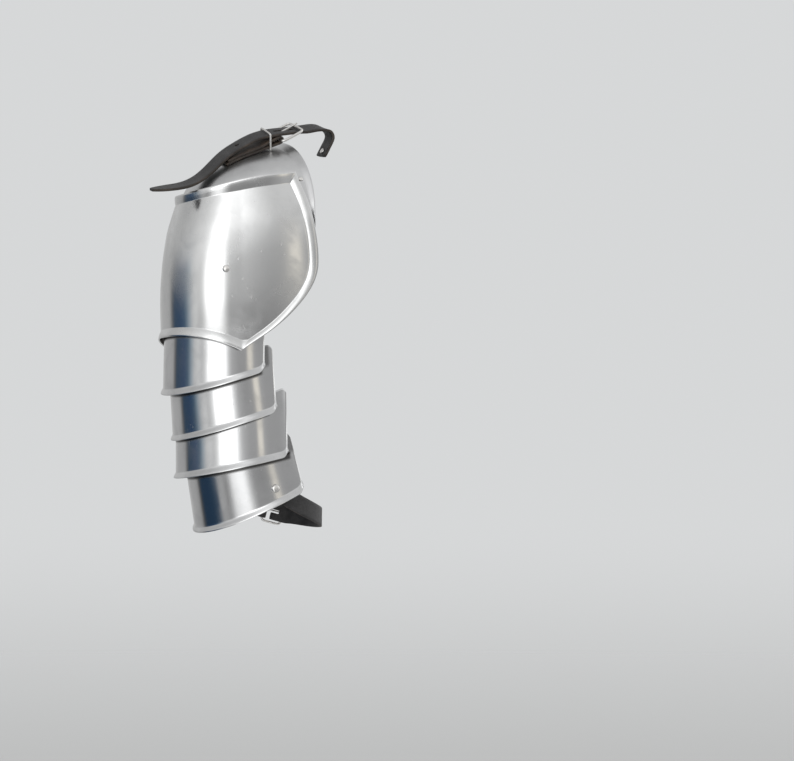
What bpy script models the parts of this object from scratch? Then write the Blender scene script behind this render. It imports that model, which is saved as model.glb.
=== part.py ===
"""Steel pauldron for a right shoulder: shoulder plate, domed cop, four arm lames, leathers, straps and buckles."""
import math

import bpy
import bmesh
from mathutils import Vector

for old in list(bpy.data.objects):
    bpy.data.objects.remove(old, do_unlink=True)

# Lengths are metres. X runs inwards to the neck, -Y is the wearer's front, +Z is up.
# Angles run from the wearer's front (0) over the outer side of the arm (90) to the back (180).

# Sheet and leather
STEEL = 0.0012
LEATHER = 0.0022
STRAP = 0.0024
TOUCH = 0.0003
NEST = 0.0021

# The seat is the spot under the crest where the plate rests on the shoulder
SEAT_INWARD = 0.020
SEAT_UP = 0.1715

# Shoulder plate
RIM_INWARD = 0.042
RIM_LEAN = 0.007
RIM_HALF_DEPTH = 0.082
RIM_RISE = 0.075
RIM_FOOT = 0.1065
RIM_SQUARE = 2.05
RIM_TURN = 0.0016
PLATE_SIDE = 0.118
PLATE_REACH = 18.0
PLATE_SHOULDER = 0.86

# Cop
COP_RADIUS = 0.0704
COP_TOP = 0.1472
COP_TOP_FRONT = 0.0102
COP_TOP_SIDE = -0.010
COP_TILT = 0.0095
COP_ARCH = 0.0051
COP_POINT = 21.0
COP_POINT_DROP = 0.0180
COP_SPREAD = 0.47
COP_SPREAD_FROM = 30.0
COP_BORDER = 0.0085
COP_BORDER_RISE = 0.0026
COP_BORDER_TURN = 1.8
# Share of the height from the top, and radius as a share of COP_RADIUS
COP_PROFILE = [
    {"down": 0.00, "radius": 0.764},
    {"down": 0.05, "radius": 0.788},
    {"down": 0.14, "radius": 0.846},
    {"down": 0.27, "radius": 0.914},
    {"down": 0.50, "radius": 0.977},
    {"down": 0.72, "radius": 1.000},
    {"down": 1.00, "radius": 0.990},
]
# Share of the height down the front edge, and its angle
COP_EDGE = [
    {"down": 0.00, "angle": -22.0},
    {"down": 0.20, "angle": -24.8},
    {"down": 0.48, "angle": -25.2},
    {"down": 0.62, "angle": -22.0},
    {"down": 0.76, "angle": -13.0},
    {"down": 0.88, "angle": 0.0},
    {"down": 1.00, "angle": 21.0},
]

# Arm lames: the lower ring of each with its radius as a share of COP_RADIUS, its tilt to the front and to the
# side, its overlap, the angles of its front edge below and above, and the share of its step inwards that its
# top has already made
LAME_FLARE = 0.0021
LAME_FLARE_HEIGHT = 0.006
LAME_CORNER = 0.0060
LAMES = [
    {"inward": -0.0015, "forward": 0.0030, "radius": 0.9659, "down": 0.0288, "front": 0.0062, "side": -0.0203,
     "overlap": 0.022, "edge": 3.4, "edge_top": 2.0, "step": 0.45},
    {"inward": 0.0060, "forward": 0.0070, "radius": 0.9545, "down": 0.0707, "front": 0.0090, "side": -0.0206,
     "overlap": 0.023, "edge": 0.2, "edge_top": -3.4, "step": 0.25},
    {"inward": 0.0068, "forward": 0.0105, "radius": 0.9489, "down": 0.1137, "front": 0.0084, "side": -0.0126,
     "overlap": 0.018, "edge": -7.6, "edge_top": -13.0, "step": 0.45},
    {"inward": 0.0245, "forward": 0.0130, "radius": 0.9403, "down": 0.1458, "front": 0.0058, "side": -0.0322,
     "overlap": 0.023, "edge": -6.5, "edge_top": -9.0, "step": 0.25},
]
# The line under the cop from which the first lame's overlap is counted
FIRST_LINE = {"up": 0.010, "front": 0.008, "side": -0.006}

# Articulating leathers and rivets
LEATHER_WIDTH = 0.022
LEATHER_EASE = 0.0062
SHANK = 0.0013
SHANK_CLEAR = 0.0003
HEAD_BIG = 0.0042
HEAD_MID = 0.0036
HEAD_FLAT = 0.0031
HEAD_SMALL = 0.0024
TAIL_HEAD = 0.0030
TAIL_HEIGHT = 0.0010
COP_RIVET_ANGLE = 33.0
COP_RIVET_DOWN = 0.53
LAME_RIVET = [
    {"angle": 28.0, "down": 0.15},
    {"angle": 24.5, "down": 0.15},
    {"angle": 20.0, "down": 0.15},
    {"angle": 14.5, "down": 0.755},
]
RIM_RIVET_ROUND = 0.214
RIM_RIVET_IN = 0.075

# Shoulder strap, its leather base and its buckle
STRAP_WIDTH = 0.0172
STRAP_FORWARD = 0.012
BASE_WIDTH = 0.0160
BASE_RIVET_INWARD = -0.010
BUCKLE_INWARD = 0.0365
BUCKLE_LIFT = 0.0090
BUCKLE_PITCH = 25.0
BUCKLE_ROLL = 14.0
BUCKLE_LENGTH = 0.0235
BUCKLE_WIDTH = 0.0260
BUCKLE_WIRE = 0.0014
BUCKLE_CORNER = 0.004
PRONG_WIRE = 0.0011
KEEPER_AT = 0.0115
KEEPER_WIRE = 0.0010
# From the bar out to the tip: share of the tail's reach, share of its rise from the tip to the bar, and roll
TAIL_REACH = 0.1290
TAIL_TIP_BELOW = 0.0245
TAIL_LINE = [
    {"out": 0.136, "rise": 0.953, "roll": 14.0},
    {"out": 0.225, "rise": 0.866, "roll": 12.0},
    {"out": 0.314, "rise": 0.757, "roll": 11.0},
    {"out": 0.420, "rise": 0.568, "roll": 10.0},
    {"out": 0.517, "rise": 0.376, "roll": 8.0},
    {"out": 0.590, "rise": 0.228, "roll": 7.0},
    {"out": 0.660, "rise": 0.124, "roll": 8.0},
    {"out": 0.744, "rise": 0.054, "roll": 9.0},
    {"out": 0.847, "rise": 0.028, "roll": 9.0},
    {"out": 0.935, "rise": 0.008, "roll": 9.0},
    {"out": 1.000, "rise": 0.000, "roll": 8.0},
]
TAIL_TIP_TAPER = 0.35
TAIL_CLEAR = 0.0020
CREST_RIVET_RISE = 0.0012
# From the far bar to the neck: share of the reach, rise over the bar and roll
NECK_REACH = 0.029
NECK_LINE = [
    {"in": 0.30, "rise": 0.0000, "roll": 18.0},
    {"in": 0.65, "rise": 0.0018, "roll": 15.0},
    {"in": 0.90, "rise": 0.0010, "roll": 12.0},
]
NECK_DROP = 0.017
NECK_BEND = 0.007

# Arm strap
ARM_WIDTH = 0.017
ARM_SAG = 0.031
ARM_RADIUS = 0.0600
ARM_BAR = -152.0
ARM_BUCKLE_LENGTH = 0.0185
ARM_BUCKLE_WIDTH = 0.0225
ARM_WIRE = 0.0012


def material(name, colour, roughness, metallic):
    made = bpy.data.materials.new(name)
    made.use_nodes = True
    shader = made.node_tree.nodes["Principled BSDF"]
    shader.inputs["Base Color"].default_value = (*colour, 1.0)
    shader.inputs["Roughness"].default_value = roughness
    shader.inputs["Metallic"].default_value = metallic
    return made


STEEL_LOOK = ((0.62, 0.63, 0.64), 0.24, 1.0)
NICKEL_LOOK = ((0.72, 0.71, 0.69), 0.16, 1.0)
LEATHER_LOOK = ((0.035, 0.032, 0.030), 0.55, 0.0)
BROWN_LOOK = ((0.085, 0.055, 0.040), 0.60, 0.0)


def table_slope(rows, key, value, place):
    low, high = rows[max(place - 1, 0)], rows[min(place + 1, len(rows) - 1)]
    return (high[value] - low[value]) / (high[key] - low[key])


def blend_table(rows, key, value, at):
    """Value of a table at a share, on a smooth curve through its rows."""
    if at <= rows[0][key]:
        return rows[0][value]
    for place in range(len(rows) - 1):
        low, high = rows[place], rows[place + 1]
        if at <= high[key]:
            span = high[key] - low[key]
            t = (at - low[key]) / span
            rise = high[value] - low[value]
            start = table_slope(rows, key, value, place) * span
            end = table_slope(rows, key, value, place + 1) * span
            return low[value] + start * t + (3 * rise - 2 * start - end) * t ** 2 + (start + end - 2 * rise) * t ** 3
    return rows[-1][value]


def smooth(share):
    share = min(max(share, 0.0), 1.0)
    return share * share * (3.0 - 2.0 * share)


def around(angle):
    """Level direction at an angle from the wearer's front to the outer side."""
    turn = math.radians(angle)
    return Vector((-math.sin(turn), -math.cos(turn), 0.0))


def finish(name, bm, look, angle=35.0):
    """Turn a bmesh into a placed, smooth-shaded object with its own material."""
    bmesh.ops.recalc_face_normals(bm, faces=bm.faces)
    shift = Vector((-SEAT_INWARD, 0.0, -SEAT_UP))
    for vert in bm.verts:
        vert.co += shift
    mesh = bpy.data.meshes.new(name)
    bm.to_mesh(mesh)
    bm.free()
    mesh.shade_smooth()
    mesh.set_sharp_from_angle(angle=math.radians(angle))
    made = bpy.data.objects.new(name, mesh)
    bpy.context.collection.objects.link(made)
    made.data.materials.append(material(name + "_look", *look))
    return made


def closed_grid(name, outer, inner, look, angle=35.0):
    """Closed body between two grids of points that share rows and columns."""
    bm = bmesh.new()
    top = [[bm.verts.new(p) for p in row] for row in outer]
    low = [[bm.verts.new(p) for p in row] for row in inner]
    rows, cols = len(outer), len(outer[0])
    for i in range(rows - 1):
        for j in range(cols - 1):
            bm.faces.new((top[i][j], top[i][j + 1], top[i + 1][j + 1], top[i + 1][j]))
            bm.faces.new((low[i][j], low[i + 1][j], low[i + 1][j + 1], low[i][j + 1]))
    for j in range(cols - 1):
        bm.faces.new((top[0][j], low[0][j], low[0][j + 1], top[0][j + 1]))
        bm.faces.new((top[-1][j], top[-1][j + 1], low[-1][j + 1], low[-1][j]))
    for i in range(rows - 1):
        bm.faces.new((top[i][0], top[i + 1][0], low[i + 1][0], low[i][0]))
        bm.faces.new((top[i][-1], low[i][-1], low[i + 1][-1], top[i + 1][-1]))
    return finish(name, bm, look, angle)


def grid_normals(grid, outward):
    """Normals of a grid of points, turned to the side that outward gives."""
    rows, cols = len(grid), len(grid[0])
    made = []
    for i in range(rows):
        line = []
        for j in range(cols):
            along = grid[min(i + 1, rows - 1)][j] - grid[max(i - 1, 0)][j]
            across = grid[i][min(j + 1, cols - 1)] - grid[i][max(j - 1, 0)]
            normal = along.cross(across).normalized()
            if normal.dot(outward(grid[i][j])) < 0:
                normal.negate()
            line.append(normal)
        made.append(line)
    return made


def sheet_plate(name, grid, outward, look):
    """Steel sheet whose outer face is the grid."""
    normals = grid_normals(grid, outward)
    inner = [[p - n * STEEL for p, n in zip(row, line)] for row, line in zip(grid, normals)]
    return closed_grid(name, grid, inner, look)


def drill(target, spots):
    """Round holes for rivet shanks through a plate or a leather."""
    bm = bmesh.new()
    for point, normal, radius, depth in spots:
        turn = normal.to_track_quat("Z", "Y").to_matrix().to_4x4()
        turn.translation = point - Vector((SEAT_INWARD, 0.0, SEAT_UP))
        bmesh.ops.create_cone(bm, cap_ends=True, segments=10, radius1=radius, radius2=radius, depth=depth,
                              matrix=turn)
    mesh = bpy.data.meshes.new(target.name + "_drill")
    bm.to_mesh(mesh)
    bm.free()
    cutter = bpy.data.objects.new(target.name + "_drill", mesh)
    bpy.context.collection.objects.link(cutter)
    cutter.hide_render = True
    cutter.display_type = "WIRE"
    cut = target.modifiers.new("drill", "BOOLEAN")
    cut.operation = "DIFFERENCE"
    cut.solver = "EXACT"
    cut.object = cutter


def rivet(name, point, normal, head, rise, grip, look=NICKEL_LOOK, sides=10):
    """Domed rivet: head outside, shank through the grip, small set head inside."""
    lift = TOUCH
    tail = min(TAIL_HEAD, head)
    profile = [
        (0.0, lift + rise),
        (head * 0.42, lift + rise * 0.93),
        (head * 0.76, lift + rise * 0.66),
        (head, lift + rise * 0.16),
        (head, lift),
        (SHANK, lift),
        (SHANK, -grip),
        (tail, -grip),
        (tail * 0.85, -grip - TAIL_HEIGHT * 0.8),
        (0.0, -grip - TAIL_HEIGHT),
    ]
    side = normal.orthogonal().normalized()
    other = normal.cross(side)
    bm = bmesh.new()
    rings = []
    for radius, height in profile:
        if radius == 0.0:
            rings.append([bm.verts.new(point + normal * height)])
            continue
        ring = []
        for step in range(sides):
            turn = 2.0 * math.pi * step / sides
            ring.append(bm.verts.new(point + normal * height + (side * math.cos(turn) + other * math.sin(turn)) * radius))
        rings.append(ring)
    for low, high in zip(rings, rings[1:]):
        for step in range(sides):
            following = (step + 1) % sides
            if len(low) == 1:
                bm.faces.new((low[0], high[step], high[following]))
            elif len(high) == 1:
                bm.faces.new((low[step], high[0], low[following]))
            else:
                bm.faces.new((low[step], high[step], high[following], low[following]))
    return finish(name, bm, look, 50.0)


def strip(name, stations, width, thickness, look, hug=0.0, across=2, taper=None):
    """Leather strip along stations of point and outward normal; hug is the radius that it bends to across."""
    outer, inner = [], []
    count = len(stations)
    for place, (point, normal) in enumerate(stations):
        before = stations[max(place - 1, 0)][0]
        after = stations[min(place + 1, count - 1)][0]
        along = (after - before).normalized()
        side = normal.cross(along).normalized()
        up = along.cross(side).normalized()
        half = width * 0.5 * (taper[place] if taper else 1.0)
        upper, lower = [], []
        for step in range(across + 1):
            offset = half * (2.0 * step / across - 1.0)
            bend = offset * offset / (2.0 * hug) if hug else 0.0
            base = point + side * offset - up * bend
            upper.append(base + up * thickness * 0.5)
            lower.append(base - up * thickness * 0.5)
        outer.append(upper)
        inner.append(lower)
    return closed_grid(name, outer, inner, look, 40.0)


def wire(name, points, radius, look, closed=True, sides=8, tips=None):
    """Round wire along points, as a closed loop or with flat ends."""
    bm = bmesh.new()
    count = len(points)
    rings = []
    side = None
    for place in range(count):
        if closed:
            before, after = points[place - 1], points[(place + 1) % count]
        else:
            before, after = points[max(place - 1, 0)], points[min(place + 1, count - 1)]
        along = (after - before).normalized()
        if side is None:
            side = along.orthogonal().normalized()
        side = (side - along * side.dot(along)).normalized()
        other = along.cross(side)
        size = radius * (tips[place] if tips else 1.0)
        ring = []
        for step in range(sides):
            turn = 2.0 * math.pi * step / sides
            ring.append(bm.verts.new(points[place] + (side * math.cos(turn) + other * math.sin(turn)) * size))
        rings.append(ring)
    pairs = list(zip(rings, rings[1:]))
    if closed:
        # The frame has turned on its way round, so the last ring meets the first at its nearest vertex
        shift = min(range(sides), key=lambda k: (rings[-1][0].co - rings[0][k].co).length)
        pairs.append((rings[-1], rings[0][shift:] + rings[0][:shift]))
    for low, high in pairs:
        for step in range(sides):
            following = (step + 1) % sides
            bm.faces.new((low[step], high[step], high[following], low[following]))
    if not closed:
        bm.faces.new(rings[0])
        bm.faces.new(list(reversed(rings[-1])))
    return finish(name, bm, look, 50.0)


# Cop surface
def cop_top(angle):
    turn = math.radians(angle)
    return COP_TOP + COP_TOP_FRONT * math.cos(turn) + COP_TOP_SIDE * math.sin(turn)


def cop_bottom(angle):
    turn = math.radians(angle)
    reach = abs(90.0 - min(max(angle, COP_POINT), 180.0 - COP_POINT)) / (90.0 - COP_POINT)
    return COP_TILT * math.cos(turn) + COP_ARCH - COP_POINT_DROP * reach ** 2.6


def cop_radius(angle, down):
    radius = COP_RADIUS * blend_table(COP_PROFILE, "down", "radius", down)
    away = max(COP_SPREAD_FROM - min(angle, 180.0 - angle), 0.0)
    return radius * (1.0 + COP_SPREAD * math.radians(away) ** 2)


def cop_point(angle, down, offset=0.0):
    height = cop_top(angle) + (cop_bottom(angle) - cop_top(angle)) * down
    point = around(angle) * cop_radius(angle, down)
    point.z = height
    if offset:
        point += cop_normal(angle, down) * offset
    return point


def cop_normal(angle, down):
    step = 0.02
    low, high = max(down - step, 0.0), min(down + step, 1.0)
    along = cop_point(angle, high) - cop_point(angle, low)
    across = cop_point(angle + 2.0, down) - cop_point(angle - 2.0, down)
    normal = along.cross(across).normalized()
    if normal.dot(around(angle)) < 0:
        normal.negate()
    return normal


def cop_edge(down):
    return blend_table(COP_EDGE, "down", "angle", down)


def cop_share(angle, height):
    """Share down the cop at a height."""
    return (cop_top(angle) - height) / (cop_top(angle) - cop_bottom(angle))


def make_cop():
    height = COP_TOP - COP_ARCH
    band = COP_BORDER / height
    downs = [0.0, band * 0.5, band]
    downs += [band + (1.0 - band * 2.0) * k / 9.0 for k in range(1, 9)]
    downs += [1.0 - band, 1.0 - band * 0.5, 1.0]
    grid = []
    for down in downs:
        first = cop_edge(down)
        last = 180.0 - first
        reach = (cop_point(first + (last - first) * 0.05, down) - cop_point(first, down)).length / 0.05
        side = COP_BORDER / reach
        rounds = [0.0, side * 0.5, side]
        rounds += [side + (1.0 - side * 2.0) * k / 17.0 for k in range(1, 17)]
        rounds += [1.0 - side, 1.0 - side * 0.5, 1.0]
        row = []
        for share in rounds:
            angle = first + (last - first) * share
            edge = min(down, 1.0 - down) / band
            edge = min(edge, min(share, 1.0 - share) / side)
            rise = COP_BORDER_RISE * (1.0 - min(edge, 1.0) ** COP_BORDER_TURN)
            row.append(cop_point(angle, down, rise + 0.00001))
        grid.append(row)
    return sheet_plate("shoulder_cop", grid, lambda p: Vector((p.x - 0.01, p.y, 0.02)), STEEL_LOOK)


# Lame surfaces
def lame_bottom(index, angle):
    turn = math.radians(angle)
    if index < 0:
        return FIRST_LINE["up"] + FIRST_LINE["front"] * math.cos(turn) + FIRST_LINE["side"] * math.sin(turn)
    row = LAMES[index]
    return -row["down"] + row["front"] * math.cos(turn) + row["side"] * math.sin(turn)


def lame_top(index, angle):
    return lame_bottom(index - 1, angle) + LAMES[index]["overlap"]


def lame_axis(index, down):
    """Middle and radius of a lame's ring at a share down; each upper ring nests in the lame above."""
    row = LAMES[index]
    if index == 0:
        start = (0.0, 0.0, COP_RADIUS - STEEL - NEST - 0.0008)
    else:
        above = LAMES[index - 1]
        reach = LAMES[index]["overlap"] / (lame_top(index - 1, 45.0) - lame_bottom(index - 1, 45.0))
        inward, forward, radius = lame_axis(index - 1, 1.0 - reach)
        shift = (row["inward"] - above["inward"]) * row["step"]
        start = (inward + shift, forward, radius - STEEL - NEST)
    ring = (row["inward"], row["forward"], row["radius"] * COP_RADIUS)
    mix = [a + (b - a) * down for a, b in zip(start, ring)]
    return mix


def lame_point(index, angle, down, offset=0.0, inset=0.0):
    top, bottom = lame_top(index, angle), lame_bottom(index, angle)
    high, low = top - inset, bottom + inset
    height = high + (low - high) * down
    share = (top - height) / (top - bottom)
    inward, forward, radius = lame_axis(index, share)
    flare = LAME_FLARE * smooth(1.0 - (height - bottom) / LAME_FLARE_HEIGHT)
    point = around(angle) * (radius + flare + offset)
    point += Vector((inward, -forward, height))
    return point


def make_lame(index):
    row = LAMES[index]
    radius = row["radius"] * COP_RADIUS
    corner = [0.0, 0.16, 0.5, 1.0]
    bend = math.degrees(LAME_CORNER / radius)
    grid = []
    flare = LAME_FLARE_HEIGHT / 0.06
    for down in [0.0, 0.06, 0.4, 0.72, 1.0 - flare, 1.0 - flare * 0.5, 1.0]:
        first = row["edge_top"] + (row["edge"] - row["edge_top"]) * down
        last = 180.0 - first
        angles = [first + bend * share for share in corner]
        angles += [first + bend + (last - first - 2.0 * bend) * k / 14.0 for k in range(1, 14)]
        angles += [last - bend * share for share in reversed(corner)]
        line = []
        for angle in angles:
            away = min(angle - first, last - angle) / bend
            inset = 0.0
            if away < 1.0:
                inset = LAME_CORNER * (1.0 - math.sqrt(max(1.0 - (1.0 - away) ** 2, 0.0)))
            line.append(lame_point(index, angle, down, 0.0, inset))
        grid.append(line)
    middle = Vector((row["inward"], -row["forward"], 0.0))
    return sheet_plate("arm_lame_%d" % (index + 1), grid,
                       lambda p: Vector((p.x - middle.x, p.y - middle.y, 0.0)), STEEL_LOOK)


def lame_spot(index, angle, down, offset):
    """Point and outward direction on a lame's inner or outer side."""
    along = lame_point(index, angle, down + 0.02) - lame_point(index, angle, down - 0.02)
    across = lame_point(index, angle + 2.0, down) - lame_point(index, angle - 2.0, down)
    normal = along.cross(across).normalized()
    if normal.dot(around(angle)) < 0:
        normal.negate()
    return lame_point(index, angle, down) + normal * offset, normal


# Shoulder plate surface
def rim_point(share):
    turn = math.pi * share
    power = 2.0 / RIM_SQUARE
    depth = -RIM_HALF_DEPTH * math.copysign(abs(math.cos(turn)) ** power, math.cos(turn))
    rise = RIM_RISE * max(math.sin(turn), 0.0) ** power
    return Vector((RIM_INWARD + RIM_LEAN * math.sin(turn), depth, RIM_FOOT + rise))


def plate_foot(share):
    angle = -PLATE_REACH + (180.0 + 2.0 * PLATE_REACH) * share
    height = RIM_FOOT + (PLATE_SIDE - RIM_FOOT) * math.sin(math.pi * share)
    point = around(angle) * (cop_radius(angle, cop_share(angle, height)) - STEEL - NEST)
    point.z = height
    return point


def plate_point(share, out, offset=0.0):
    """Point of the shoulder plate: share runs front to back, out from the neck rim to the foot under the cop."""
    rim, foot = rim_point(share), plate_foot(share)
    middle = rim + (foot - rim) * PLATE_SHOULDER
    middle.z = rim.z - (rim.z - foot.z) * 0.09
    point = rim * (1.0 - out) ** 2 + middle * (2.0 * out * (1.0 - out)) + foot * out ** 2
    level = Vector((point.x, point.y, 0.0))
    angle = math.degrees(math.atan2(-point.x, -point.y))
    if angle < -90.0:
        angle += 360.0
    under = cop_share(angle, point.z)
    if under > -0.06:
        # Stay inside the cop where it covers the plate
        limit = cop_radius(angle, max(under, 0.0)) - STEEL - NEST
        if under < 0.0:
            limit -= under * 0.25
        if level.length > limit:
            level = level.normalized() * limit
            point.x, point.y = level.x, level.y
    if offset:
        point += plate_normal(share, out) * offset
    return point


def plate_normal(share, out):
    low, high = max(out - 0.01, 0.0), min(out + 0.01, 1.0)
    front, back = max(share - 0.01, 0.0), min(share + 0.01, 1.0)
    along = plate_point(share, high) - plate_point(share, low)
    across = plate_point(back, out) - plate_point(front, out)
    normal = along.cross(across).normalized()
    if normal.dot(plate_point(share, out) - Vector((0.02, 0.0, 0.09))) < 0:
        normal.negate()
    return normal


def plate_at(inward, forward):
    """Share and out of the plate's point at a place seen from above."""
    share, out = 0.5, 0.4
    for _ in range(30):
        here = plate_point(share, out)
        step = 0.002
        by_share = (plate_point(share + step, out) - here) / step
        by_out = (plate_point(share, out + step) - here) / step
        miss = (inward - here.x, -forward - here.y)
        area = by_share.x * by_out.y - by_share.y * by_out.x
        share += (miss[0] * by_out.y - miss[1] * by_out.x) / area
        out += (by_share.x * miss[1] - by_share.y * miss[0]) / area
        share = min(max(share, 0.02), 0.98)
        out = min(max(out, 0.0), 0.96)
    return share, out


def crest_height(inward):
    """Height of the plate under the strap's line, carried on level past its rims."""
    low = plate_point(0.5, 0.93).x
    high = RIM_INWARD + RIM_LEAN - 0.003
    held = min(max(inward, low), high)
    slope = 0.22 if inward > high else 0.0
    return plate_point(*plate_at(held, STRAP_FORWARD)).z + (inward - held) * slope


def make_shoulder_plate():
    width = 0.118
    outs = [0.0, 0.0035 / width, 0.0065 / width, 0.14, 0.28, 0.42, 0.56, 0.70, 0.85, 1.0]
    grid = []
    for out in outs:
        row = []
        for step in range(23):
            share = step / 22.0
            rise = RIM_TURN * (1.0 - smooth(out * width / 0.0065))
            row.append(plate_point(share, out, rise + 0.00001))
        grid.append(row)
    return sheet_plate("shoulder_plate", grid, lambda p: p - Vector((0.02, 0.0, 0.09)), STEEL_LOOK)


def mirror(point):
    return Vector((point.x, -point.y, point.z))


cop = make_cop()
lames = [make_lame(index) for index in range(len(LAMES))]
plate = make_shoulder_plate()

holes = {cop.name: [], plate.name: []}
for made in lames:
    holes[made.name] = []
FRONT, BACK = "front", "back"


def flip(side, point):
    """A front place, or its twin at the back of a lame's own ring or of the cop."""
    return point if side == FRONT else mirror(point)


# Articulating leathers with their rivets, front and back
GAP = TOUCH + 0.0003
HALF = LEATHER * 0.5
SEAT = STEEL + GAP + HALF


def lame_station(index, side, angle, down, extra=0.0):
    seen = angle if side == FRONT else 180.0 - angle
    return lame_spot(index, seen, down, -SEAT - extra)


def plate_station(side, share, out):
    seen = share if side == FRONT else 1.0 - share
    normal = plate_normal(seen, out)
    return plate_point(seen, out) - normal * SEAT, normal


def cop_station(side, angle, down):
    seen = angle if side == FRONT else 180.0 - angle
    normal = cop_normal(seen, down)
    return cop_point(seen, down) - normal * SEAT, normal


def between(one, two, share, inwards=0.0):
    normal = (one[1] * (1.0 - share) + two[1] * share).normalized()
    return one[0] + (two[0] - one[0]) * share - normal * inwards, normal


def drill_spot(station, reach=0.014):
    return station[0], station[1], SHANK + SHANK_CLEAR, reach


hole_radius = SHANK + SHANK_CLEAR
grip_one = STEEL + GAP + LEATHER + TOUCH + 0.0003
ARM_GAP = GAP + 0.0003
arm_spots = {}
for side in (FRONT, BACK):
    stations = []
    spots = []
    rim_rivet = plate_station(side, RIM_RIVET_ROUND, RIM_RIVET_IN)
    cop_rivet = cop_station(side, COP_RIVET_ANGLE, COP_RIVET_DOWN)
    line = cop_rivet[0] - rim_rivet[0]
    line -= rim_rivet[1] * line.dot(rim_rivet[1])
    line.normalize()
    start = (rim_rivet[0] - line * 0.0055 - rim_rivet[1] * 0.0003, rim_rivet[1])
    ease = LEATHER_EASE if side == BACK else 0.0
    after = (rim_rivet[0] + line * 0.0055 - rim_rivet[1] * (0.0004 + ease * 0.12), rim_rivet[1])
    leave = (rim_rivet[0] + line * 0.0160 - rim_rivet[1] * (0.0040 + ease * 0.7), rim_rivet[1])
    stations += [start, rim_rivet, after, leave]
    before = cop_station(side, COP_RIVET_ANGLE - 4.0, COP_RIVET_DOWN - 0.07)
    stations += [between(leave, before, share, (0.0060 + ease) * math.sin(math.pi * share)) for share in (0.3, 0.65)]
    stations += [before, cop_rivet, cop_station(side, COP_RIVET_ANGLE - 1.2, COP_RIVET_DOWN + 0.06)]
    spots += [drill_spot(rim_rivet), drill_spot(cop_rivet)]
    for index, place in enumerate(LAME_RIVET):
        angle = place["angle"]
        down = place["down"]
        lead = LAME_RIVET[2]["angle"] - 1.0 if index == 3 else angle + 1.0
        if index < 3:
            stations.append(lame_station(index, side, lead, -0.10, 0.0006))
            stations.append(lame_station(index, side, lead, 0.0, 0.0002))
        else:
            stations.append(lame_station(index, side, 18.5, -0.10, 0.0006))
            stations.append(lame_station(index, side, 18.0, 0.0, 0.0002))
            stations.append(lame_station(index, side, 16.2, 0.38))
        stations.append(lame_station(index, side, angle, down))
        if index < 3:
            stations.append(lame_station(index, side, angle, down + 0.09))
        spots.append(drill_spot(lame_station(index, side, angle, down)))
    stations.append(lame_station(3, side, LAME_RIVET[3]["angle"] - 0.6, LAME_RIVET[3]["down"] + 0.12, 0.0002))
    made = strip("leather_" + side, stations, LEATHER_WIDTH, LEATHER, BROWN_LOOK, hug=0.058, across=4)
    drill(made, spots)

    normal = rim_rivet[1]
    rivet("rivet_rim_" + side, rim_rivet[0] + normal * SEAT, normal, HEAD_SMALL, 0.0009, grip_one)
    holes[plate.name].append(drill_spot((rim_rivet[0] + normal * SEAT, normal), 0.006))
    normal = cop_rivet[1]
    rivet("rivet_cop_" + side, cop_rivet[0] + normal * SEAT, normal, HEAD_MID, 0.0019, grip_one)
    holes[cop.name].append(drill_spot((cop_rivet[0] + normal * SEAT, normal), 0.006))
    for index, place in enumerate(LAME_RIVET):
        point, normal = lame_station(index, side, place["angle"], place["down"])
        outer = point + normal * SEAT
        last = index == 3
        grip = grip_one + (LEATHER + ARM_GAP if last else 0.0)
        rivet("rivet_lame_%d_%s" % (index + 1, side), outer, normal,
              HEAD_BIG if last else HEAD_FLAT, 0.0023 if last else 0.0009, grip, sides=10 if last else 8)
        holes["arm_lame_%d" % (index + 1)].append(drill_spot((outer, normal), 0.006))
        if last:
            arm_spots[side] = (point - normal * (LEATHER + ARM_GAP), normal)

# Buckle frame in its own axes: along the strap to the neck, across to the front, up
pitch = math.radians(BUCKLE_PITCH)
roll = math.radians(BUCKLE_ROLL)
bar = Vector((BUCKLE_INWARD, -STRAP_FORWARD, crest_height(BUCKLE_INWARD) + BUCKLE_LIFT))
along = Vector((math.cos(pitch), 0.0, math.sin(pitch)))
level = Vector((0.0, -1.0, 0.0))
rise = along.cross(level)
if rise.z < 0:
    rise.negate()
across = level * math.cos(roll) - rise * math.sin(roll)
up = rise * math.cos(roll) + level * math.sin(roll)


def rounded_box(origin, one, two, length, width, corner, steps=3):
    """Points round a rectangle with round corners, from its bar on the origin."""
    half = width * 0.5
    points = []
    centres = [(corner, half - corner, 90.0, 180.0), (corner, -half + corner, 180.0, 270.0),
               (length - corner, -half + corner, 270.0, 360.0), (length - corner, half - corner, 0.0, 90.0)]
    for a, b, start, end in centres:
        for step in range(steps + 1):
            turn = math.radians(start + (end - start) * step / steps)
            points.append(origin + one * (a + corner * math.cos(turn)) + two * (b + corner * math.sin(turn)))
    return points


def hook(origin, one, high, bar_radius, wire_radius, reach, lift):
    """Prong centre line: a ring round the bar, then a straight finger to the far bar."""
    radius = bar_radius + TOUCH + wire_radius
    points = []
    for step in range(10):
        turn = math.radians(-35.0 - 229.0 * step / 9.0)
        points.append(origin + one * radius * math.cos(turn) + high * radius * math.sin(turn))
    start = points[-1]
    end = origin + one * reach + high * lift
    points += [start + (end - start) * share for share in (0.30, 0.62, 0.92, 1.0)]
    return points


wire("buckle_frame", rounded_box(bar, along, across, BUCKLE_LENGTH, BUCKLE_WIDTH, BUCKLE_CORNER), BUCKLE_WIRE,
     NICKEL_LOOK)
prong_points = hook(bar, along, up, BUCKLE_WIRE, PRONG_WIRE, BUCKLE_LENGTH + 0.0022,
                    BUCKLE_WIRE + TOUCH * 2.0 + PRONG_WIRE)
wire("buckle_prong", prong_points, PRONG_WIRE, NICKEL_LOOK, closed=False, sides=6,
     tips=[1.0] * 12 + [0.95, 0.6])

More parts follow.
